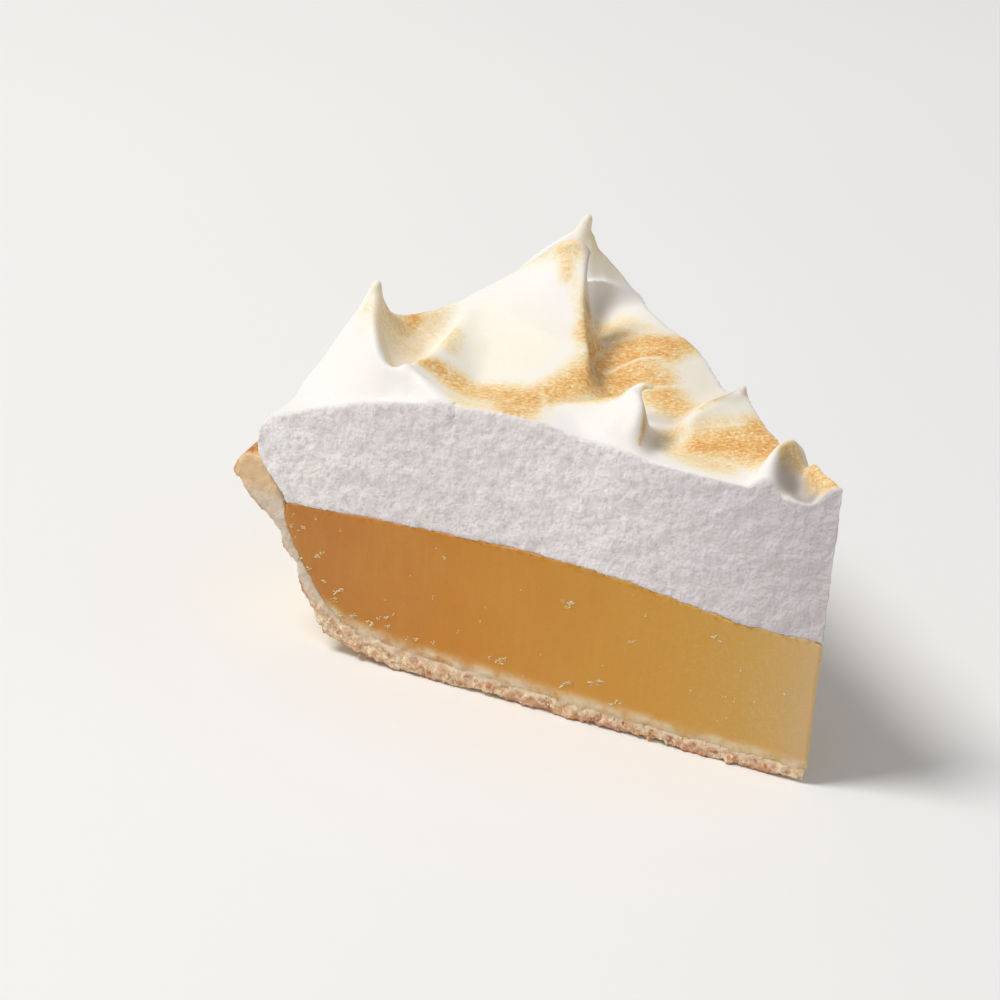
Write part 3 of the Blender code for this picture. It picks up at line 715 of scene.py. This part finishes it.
def shapeCurd():
    piece = copyNode("lemon_filling", "lemonCurd")
    applyModifier(piece, "REMESH", mode="VOXEL", voxel_size=curd["voxel"] * mm, adaptivity=0.0)
    applyModifier(piece, "SMOOTH", factor=0.5, iterations=2)
    points, normals = readPoints(piece), readNormals(piece)
    grow = curd["grow"] + curd["bury"] * ease(nearness(points, "crust"), 1.6, 0.6) * (
        0.3 + 0.7 * ease(points[:, 2], 12, 7))
    distance, bearing, depth = sliceMeasure(points)
    grow *= 1 + 0.18 * np.sin(distance / 1.7) + 0.14 * np.sin(distance / 0.8 + points[:, 2])
    points = flattenCuts(points + normals * grow[:, None], curd["sink"])
    writePoints(piece, points)
    distance, bearing, depth = sliceMeasure(points)
    roughen(piece, ease(depth, 0.6, 0.2), curd["sagSize"], curd["sag"], depth=1)
    points = readPoints(piece)
    distance, bearing, depth = sliceMeasure(points)
    paint(piece, "reach", distance / wallRadius)
    low = 0.25 + 0.75 * ease(points[:, 2], 13, 8)
    paint(piece, "haze", low * ease(nearness(points, "crust"), curd["hazeDepth"] * low, 0.3 * low))
    paint(piece, "edge", ease(nearness(points, "meringue"), 0.9, 0.4))
    return piece


def curdMaterial():
    material, tree, shader = startMaterial("lemonGel", **{
        "Subsurface Weight": 0.3, "Subsurface Radius": (1.0, 0.45, 0.1), "Subsurface Scale": 3 * mm,
        "IOR": 1.4, "Coat Weight": 0.08, "Coat Roughness": 0.35})
    place = addNode(tree, "ShaderNodeTexCoord").outputs["Object"]
    reach, haze, edge = (readMask(tree, name) for name in ("reach", "haze", "edge"))
    # the filling's colour by distance from the tip: paler towards the thin tip as painted light shining through it,
    # deeper amber towards the crust
    body = rampColour(tree, reach, [
        (0.0, tint(212, 180, 132)), (0.06, tint(212, 172, 104)), (0.14, tint(212, 164, 78)), (0.3, tint(214, 154, 52)),
        (0.65, tint(209, 138, 42)), (1.0, tint(194, 122, 48))])
    cloud = noiseAt(tree, place, 14.0, 3.0)
    body = blendColour(tree, remap(tree, cloud, 0.35, 0.75, 0.0, 0.22), body, tint(224, 168, 78))
    cutPlane = addNode(tree, "ShaderNodeMapping", {
        "Vector": place, "Rotation": (0, 0, math.radians(halfAngle))}, vector_type="TEXTURE").outputs[0]
    brushed = addNode(tree, "ShaderNodeMapping", {"Vector": place, "Scale": (1.0, 1.0, 0.12)}).outputs[0]
    strokes = noiseAt(tree, brushed, 1.6, 3.0, 0.6)
    body = blendColour(tree, remap(tree, strokes, 0.5, 0.8, 0.0, 0.16), body, tint(228, 178, 96))
    scratches = None
    for tilt, size in ((0.75, 0.15), (-0.6, 0.17), (1.3, 0.16)):
        along = addNode(tree, "ShaderNodeMapping", {
            "Vector": cutPlane, "Rotation": (0, tilt, 0), "Scale": (1.0, 1.0, 9.0)}, vector_type="TEXTURE")
        hair = remap(tree, noiseAt(tree, along.outputs[0], size, 1.0, 0.5, 0.3), 0.6, 0.7)
        scratches = hair if scratches is None else calc(tree, "MAXIMUM", scratches, hair)
    scratched = calc(tree, "MULTIPLY", scratches, remap(tree, reach, 0.08, 0.4, 0.3, 0.06))
    body = blendColour(tree, scratched, body, tint(234, 204, 142))
    rim = remap(tree, noiseAt(tree, place, 0.9, 2.0), 0.45, 0.6)
    body = blendColour(tree, calc(tree, "MULTIPLY", calc(tree, "MULTIPLY", edge, 0.35), rim), body, tint(160, 92, 40))
    patchy = remap(tree, noiseAt(tree, place, 3.6, 3.0, 0.6), 0.36, 0.58, 0.2, 1.0)
    fade = calc(tree, "MULTIPLY", calc(tree, "POWER", haze, 1.2), patchy)
    soaked = rampColour(tree, haze, [(0.3, tint(218, 166, 88)), (0.65, tint(228, 194, 138)), (1.0, tint(238, 216, 182))])
    body = blendColour(tree, fade, body, soaked)
    tree.links.new(body, shader.inputs["Base Color"])
    tree.links.new(remap(tree, strokes, 0.3, 0.7, 0.3, 0.44), shader.inputs["Roughness"])
    height = calc(tree, "ADD", strokes, calc(tree, "MULTIPLY", scratches, 0.5))
    bump = addNode(tree, "ShaderNodeBump", {"Strength": 0.35, "Distance": 0.15 * mm, "Height": height})
    tree.links.new(bump.outputs[0], shader.inputs["Normal"])
    return material


def addFlecks():        # thin scraps lying in the cut, most of them tilted up towards the tip
    copies = []
    for distance, height, length in flecks:
        for part in range(2 if length < 0.7 else 6):
            share = max(0.16, length * random.uniform(0.15, 0.42))
            shift = random.uniform(-0.5, 0.5) * length
            rise = random.uniform(-0.35, 0.35)
            tilt = -math.radians(random.uniform(-15, 50))
            place = cutPlace(distance - shift * math.cos(tilt), height + rise - shift * math.sin(tilt),
                             curd["sink"] + 0.01)
            size = (share, curd["fleckThickness"], random.uniform(0.08, 0.19))
            copies.append((place, (0, tilt, math.radians(halfAngle)), size, random.random()))
    return joinCopies("curdFlecks", addLump("fleck", 1, 0.5), copies)


def fleckMaterial():
    material, tree, shader = startMaterial("paleFleck", **{"Roughness": 0.5, "Subsurface Weight": 0.3})
    shader.inputs["Subsurface Scale"].default_value = 0.5 * mm
    colour = rampColour(tree, readMask(tree, "tone"), [(0.0, tint(226, 188, 126)), (1.0, tint(248, 230, 192))])
    tree.links.new(colour, shader.inputs["Base Color"])
    return material


print("lemon filling: shaping")
lemonCurd = shapeCurd()
lemonCurd.data.materials.append(curdMaterial())
curdFlecks = addFlecks()
curdFlecks.data.materials.append(fleckMaterial())
print("lemon filling:", len(lemonCurd.data.polygons), "faces and", len(curdFlecks.data.polygons), "on flecks")


# Crust

pastry = {
    "voxel": 0.62, "crumbLump": 2.0, "crumbHeight": 1.4, "crumbGrit": 0.9, "crumbGritHeight": 0.7,
    "skinLump": 6.0, "skinHeight": 0.9, "skinGrit": 1.2, "skinGritHeight": 0.16, "soakDepth": 1.6,
    "crumbs": 170, "crumbSize": (0.3, 0.8), "bottomWave": 0.6, "knobRise": 2.0,
}

# how far the wall's outside stands out by the cut: height, and distance in mm
wallWaves = [(0, 0), (3, 0), (6, -0.3), (8, -0.4), (10.5, 0.2), (12.5, 0.2), (16.2, -1.1), (18.9, 0.3), (21.9, -1.0),
             (24.6, -0.5), (26.2, 0.4), (28.5, 0), (40, 0)]


def outerFace(face):        # whether a CAD crust face is on the outside: below, or facing away from the tip
    away = Vector((face.center.x - tipX * mm, face.center.y, 0)).normalized()
    onCut = abs(face.normal.z) < 0.02 and abs(face.normal.dot(away)) < 0.05
    return not onCut and (face.normal.z < -0.3 or face.normal.dot(away) > 0.3)


def shapeCrust():
    piece = copyNode("crust", "pastryShell")
    applyModifier(piece, "REMESH", mode="VOXEL", voxel_size=pastry["voxel"] * mm, adaptivity=0.0)
    applyModifier(piece, "SMOOTH", factor=0.5, iterations=2)
    refineCuts(piece, 0.9)
    points = readPoints(piece)
    distance, bearing, depth = sliceMeasure(points)
    outer = nearness(points, "crust", outerFace)
    heights, shifts = zip(*wallWaves)
    wave = np.interp(points[:, 2], heights, shifts) * ease(outer, 2.6, 0.3) * ease(bearing, -6, -16) * ease(distance, 88, 94)
    points[:, 0] -= wave * np.cos(np.radians(bearing))
    points[:, 1] += wave * np.sin(np.radians(bearing))
    knob = ease(distance, 106.5, 109.5) * ease(distance, 115, 111.5) * ease(bearing, -15, -20) * ease(points[:, 2], 27, 32)
    points[:, 2] += pastry["knobRise"] * knob
    lift = 0.5 + 0.3 * np.sin(distance / 4.7 + 1) + 0.2 * np.sin(distance / 1.9)
    points[:, 2] += pastry["bottomWave"] * lift * ease(points[:, 2], 1.4, 0.0) * ease(depth, 3.5, 0.5)
    writePoints(piece, points)
    points = readPoints(piece)
    distance, bearing, depth = sliceMeasure(points)
    curdAway = nearness(points, "lemon_filling")
    inner = np.minimum(curdAway, nearness(points, "meringue"))
    outer = nearness(points, "crust", outerFace)
    cutFace = ease(depth, 0.9, 0.3)
    baseCut = cutFace * ease(points[:, 2], 13.0, 6.0) * ease(inner, 0.9, 1.6)
    skin = (1 - cutFace) * ease(inner, 0.6, 2.0)
    roughen(piece, skin, pastry["skinLump"], pastry["skinHeight"])
    roughen(piece, skin, pastry["skinGrit"], pastry["skinGritHeight"])
    roughen(piece, baseCut, pastry["crumbLump"], pastry["crumbHeight"], depth=2, middle=0.5)
    roughen(piece, baseCut * ease(inner, 1.0, 2.0), pastry["crumbGrit"], pastry["crumbGritHeight"], depth=2, middle=0.55)
    roughen(piece, cutFace * (1 - baseCut) * ease(inner, 0.3, 1.0), pastry["crumbGrit"], pastry["crumbGritHeight"] / 2)
    points = readPoints(piece)
    points[:, 2] = np.maximum(points[:, 2], 0.0)
    writePoints(piece, points)
    distance, bearing, depth = sliceMeasure(points)
    lip = ease(distance, 106, 110) * ease(points[:, 2], 28, 31)
    low = ease(points[:, 2], 9.0, 5.0)
    paint(piece, "crumb", baseCut)
    paint(piece, "cut", cutFace)
    paint(piece, "soak", cutFace * ease(curdAway, pastry["soakDepth"] + 0.9, 0.4) * low)
    paint(piece, "wall", cutFace * (1 - low) * ease(points[:, 2], 31, 27))
    paint(piece, "strip", baseCut * ease(points[:, 2], 1.5, 1.0))
    paint(piece, "rind", cutFace * ease(outer, 0.8, 0.15))
    paint(piece, "bake", np.maximum(lip, skin * 0.5))
    return piece


def crustMaterial():
    material, tree, shader = startMaterial("bakedPastry", **{
        "Subsurface Weight": 0.12, "Subsurface Radius": (1.0, 0.6, 0.4), "Subsurface Scale": 1.5 * mm,
        "IOR": 1.4, "Specular IOR Level": 0.4})
    place = addNode(tree, "ShaderNodeTexCoord").outputs["Object"]
    grain = placeGrain(tree, 2.4, 0.6)
    cut, crumb, soak, wall, strip, rind, bake = (
        readMask(tree, name) for name in ("cut", "crumb", "soak", "wall", "strip", "rind", "bake"))
    blotch = noiseAt(tree, place, 1.6, 3.0, 0.6)
    browned = calc(tree, "MULTIPLY", bake, remap(tree, blotch, 0.3, 0.7, 0.45, 1.35), clamp=True)
    skin = rampColour(tree, browned, [
        (0.0, tint(244, 230, 206)), (0.3, tint(244, 222, 180)), (0.55, tint(236, 200, 146)),
        (0.8, tint(218, 162, 98)), (1.0, tint(190, 120, 62))])
    cells = addNode(tree, "ShaderNodeTexVoronoi", {"Vector": place, "Scale": 1 / (0.75 * mm), "Randomness": 1.0})
    grey = addNode(tree, "ShaderNodeSeparateColor", {0: cells.outputs["Color"]}).outputs[0]
    granules = rampColour(tree, calc(tree, "ADD", calc(tree, "MULTIPLY", grey, 0.6), calc(
        tree, "MULTIPLY", grain["Mottle"], 0.5)), [
        (0.15, tint(202, 136, 88)), (0.28, tint(230, 186, 142)), (0.48, tint(244, 216, 178)),
        (0.75, tint(252, 236, 206))])
    speck = remap(tree, noiseAt(tree, place, 0.45, 1.0), 0.6, 0.72, 0.0, 0.75)
    granules = blendColour(tree, speck, granules, tint(206, 136, 84))
    pits = calc(tree, "MULTIPLY", remap(tree, blotch, 0.33, 0.45, 1.0, 0.0), 0.85)
    granules = blendColour(tree, pits, granules, tint(190, 112, 66))
    gap = remap(tree, cells.outputs["Distance"], 0.42, 0.7, 0.0, 0.35)
    granules = blendColour(tree, gap, granules, tint(206, 154, 116))
    paleWall = rampColour(tree, grain["Mottle"], [(0.3, tint(214, 196, 173)), (0.7, tint(232, 216, 195))])
    lipFace = rampColour(tree, grain["Mottle"], [(0.3, tint(226, 186, 138)), (0.7, tint(242, 212, 172))])
    face = blendColour(tree, wall, lipFace, paleWall)
    face = blendColour(tree, crumb, face, granules)
    face = blendColour(tree, calc(tree, "MULTIPLY", strip, remap(
        tree, noiseAt(tree, place, 9.0, 1.0), 0.45, 0.55)), face, tint(214, 164, 134))
    wet = calc(tree, "MULTIPLY", soak, remap(tree, noiseAt(tree, place, 1.8, 3.0, 0.6), 0.35, 0.6, 0.35, 1.0))
    face = blendColour(tree, wet, face, tint(242, 222, 196))
    edge = calc(tree, "MULTIPLY", rind, remap(tree, noiseAt(tree, place, 2.2, 2.0), 0.4, 0.6, 0.25, 0.95))
    face = blendColour(tree, edge, face, tint(204, 132, 76))
    spot = calc(tree, "MULTIPLY", remap(tree, noiseAt(tree, place, 2.6, 2.0, 0.6), 0.58, 0.66), bake)
    skin = blendColour(tree, calc(tree, "MULTIPLY", spot, 0.7), skin, tint(250, 226, 176))
    colour = blendColour(tree, cut, skin, face)
    tree.links.new(colour, shader.inputs["Base Color"])
    tree.links.new(remap(tree, grain["Grain"], 0.3, 0.7, 0.6, 0.85), shader.inputs["Roughness"])
    height = calc(tree, "ADD", grain["Grain"], calc(tree, "MULTIPLY", noiseAt(tree, place, 0.4, 2.0), 0.5))
    bump = addNode(tree, "ShaderNodeBump", {"Strength": 0.7, "Distance": 0.3 * mm, "Height": height})
    tree.links.new(bump.outputs[0], shader.inputs["Normal"])
    return material


def addCrumbs():        # loose grains standing in the cut base, thickest near the tip
    copies = []
    while len(copies) < pastry["crumbs"]:
        distance = random.triangular(3, 93, 22)
        height = random.uniform(0.5, 3.3)
        size = random.uniform(*pastry["crumbSize"]) * 0.5
        place = cutPlace(distance, height, random.uniform(0.1, 0.35))
        turn = [random.uniform(0, 6.28) for axis in range(3)]
        copies.append((place, turn, [size * random.uniform(0.5, 1.5) for axis in range(3)], random.random()))
    return joinCopies("crustCrumbs", addLump("crumb", 1, 1.0), copies)


def crumbMaterial():
    material, tree, shader = startMaterial("bakedCrumb", **{"Roughness": 0.75, "Specular IOR Level": 0.3})
    grain = placeGrain(tree, 0.8, 0.3)
    tone = calc(tree, "ADD", readMask(tree, "tone"), calc(
        tree, "MULTIPLY", calc(tree, "SUBTRACT", grain["Mottle"], 0.5), 0.6), clamp=True)
    colour = rampColour(tree, tone, [
        (0.0, tint(188, 116, 70)), (0.25, tint(216, 160, 114)), (0.6, tint(232, 196, 156)),
        (1.0, tint(244, 224, 192))])
    tree.links.new(colour, shader.inputs["Base Color"])
    return material


print("crust: shaping")
pastryShell = shapeCrust()
pastryShell.data.materials.append(crustMaterial())
crustCrumbs = addCrumbs()
crustCrumbs.data.materials.append(crumbMaterial())
print("crust:", len(pastryShell.data.polygons), "faces and", len(crustCrumbs.data.polygons), "on crumbs")


# Floor, light and camera

studio = {"azimuth": 44.0, "elevation": 25.0, "roll": 4.97, "aim": (-22.5, 0.0, 24.0), "away": 650.0, "lens": 124.92,
          "key": 39.6, "keySize": 0.9, "fill": 1.1, "side": 1.8, "world": 0.34}


def makeFloor():
    bpy.ops.object.select_all(action="DESELECT")
    bpy.ops.mesh.primitive_plane_add(size=60.0)
    floor = bpy.context.object
    floor.name = "studioFloor"
    material, tree, shader = startMaterial("paleFloor", Roughness=0.9)
    shader.inputs["Specular IOR Level"].default_value = 0.1
    place = addNode(tree, "ShaderNodeTexCoord").outputs["Object"]
    shade = rampColour(tree, noiseAt(tree, place, 300.0, 1.0), [(0.3, tint(246, 246, 246)), (0.7, tint(249, 249, 248))])
    tree.links.new(shade, shader.inputs["Base Color"])
    floor.data.materials.append(material)


def addLamp(name, direction, away, size, power, colour=(1.0, 1.0, 1.0)):
    light = bpy.data.lights.new(name, "AREA")
    light.shape = "DISK"
    light.size = size
    light.energy = power
    light.color = colour
    lamp = bpy.data.objects.new(name, light)
    bpy.context.scene.collection.objects.link(lamp)
    target = Vector((0, 0, 0.03))
    lamp.location = target + direction.normalized() * away
    lamp.rotation_euler = (target - lamp.location).to_track_quat("-Z", "Y").to_euler()


def setStudio():
    azimuth, elevation, roll = (math.radians(studio[key]) for key in ("azimuth", "elevation", "roll"))
    back = Vector((math.sin(azimuth) * math.cos(elevation), -math.cos(azimuth) * math.cos(elevation),
                   math.sin(elevation)))
    level = Vector((math.cos(azimuth), math.sin(azimuth), 0))
    upright = back.cross(level)
    right = level * math.cos(roll) + upright * math.sin(roll)
    above = upright * math.cos(roll) - level * math.sin(roll)
    camera = bpy.data.objects.new("camera", bpy.data.cameras.new("camera"))
    bpy.context.scene.collection.objects.link(camera)
    camera.data.sensor_width = 36.0
    camera.data.lens = studio["lens"]
    camera.data.clip_start = 0.01
    turn = Matrix((right, above, back)).transposed().to_4x4()
    turn.translation = Vector(studio["aim"]) * mm + back * studio["away"] * mm
    camera.matrix_world = turn
    bpy.context.scene.camera = camera
    addLamp("keyLamp", level * -0.75 + Vector((0, 0, 1.15)) + back * 0.15, 2.4, studio["keySize"], studio["key"],
            (1.0, 0.985, 0.96))
    addLamp("fillLamp", level * 0.6 + back * 0.8 + Vector((0, 0, 0.4)), 3.0, 2.7, studio["fill"])
    addLamp("sideLamp", level * 0.9 + Vector((0, 0, 0.8)), 2.7, 1.8, studio["side"])
    world = bpy.data.worlds.new("studio")
    world.use_nodes = True
    world.node_tree.nodes["Background"].inputs[0].default_value = (1.0, 1.0, 1.0, 1.0)
    world.node_tree.nodes["Background"].inputs[1].default_value = studio["world"]
    bpy.context.scene.world = world
    bpy.context.scene.view_settings.view_transform = "Standard"


makeFloor()
setStudio()
print("studio: set")


# Riding on the frame

for piece, node, slotName in [
    (meringueTop, "meringue", "meringue"), (lemonCurd, "lemon_filling", "lemon_filling"),
    (curdFlecks, None, "lemon_filling"), (pastryShell, "crust", "crust"), (crustCrumbs, None, "crust"),
]:
    pickOnly(piece)
    bpy.ops.object.shade_smooth()
    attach(piece, "root")
    if node:
        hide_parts(node)
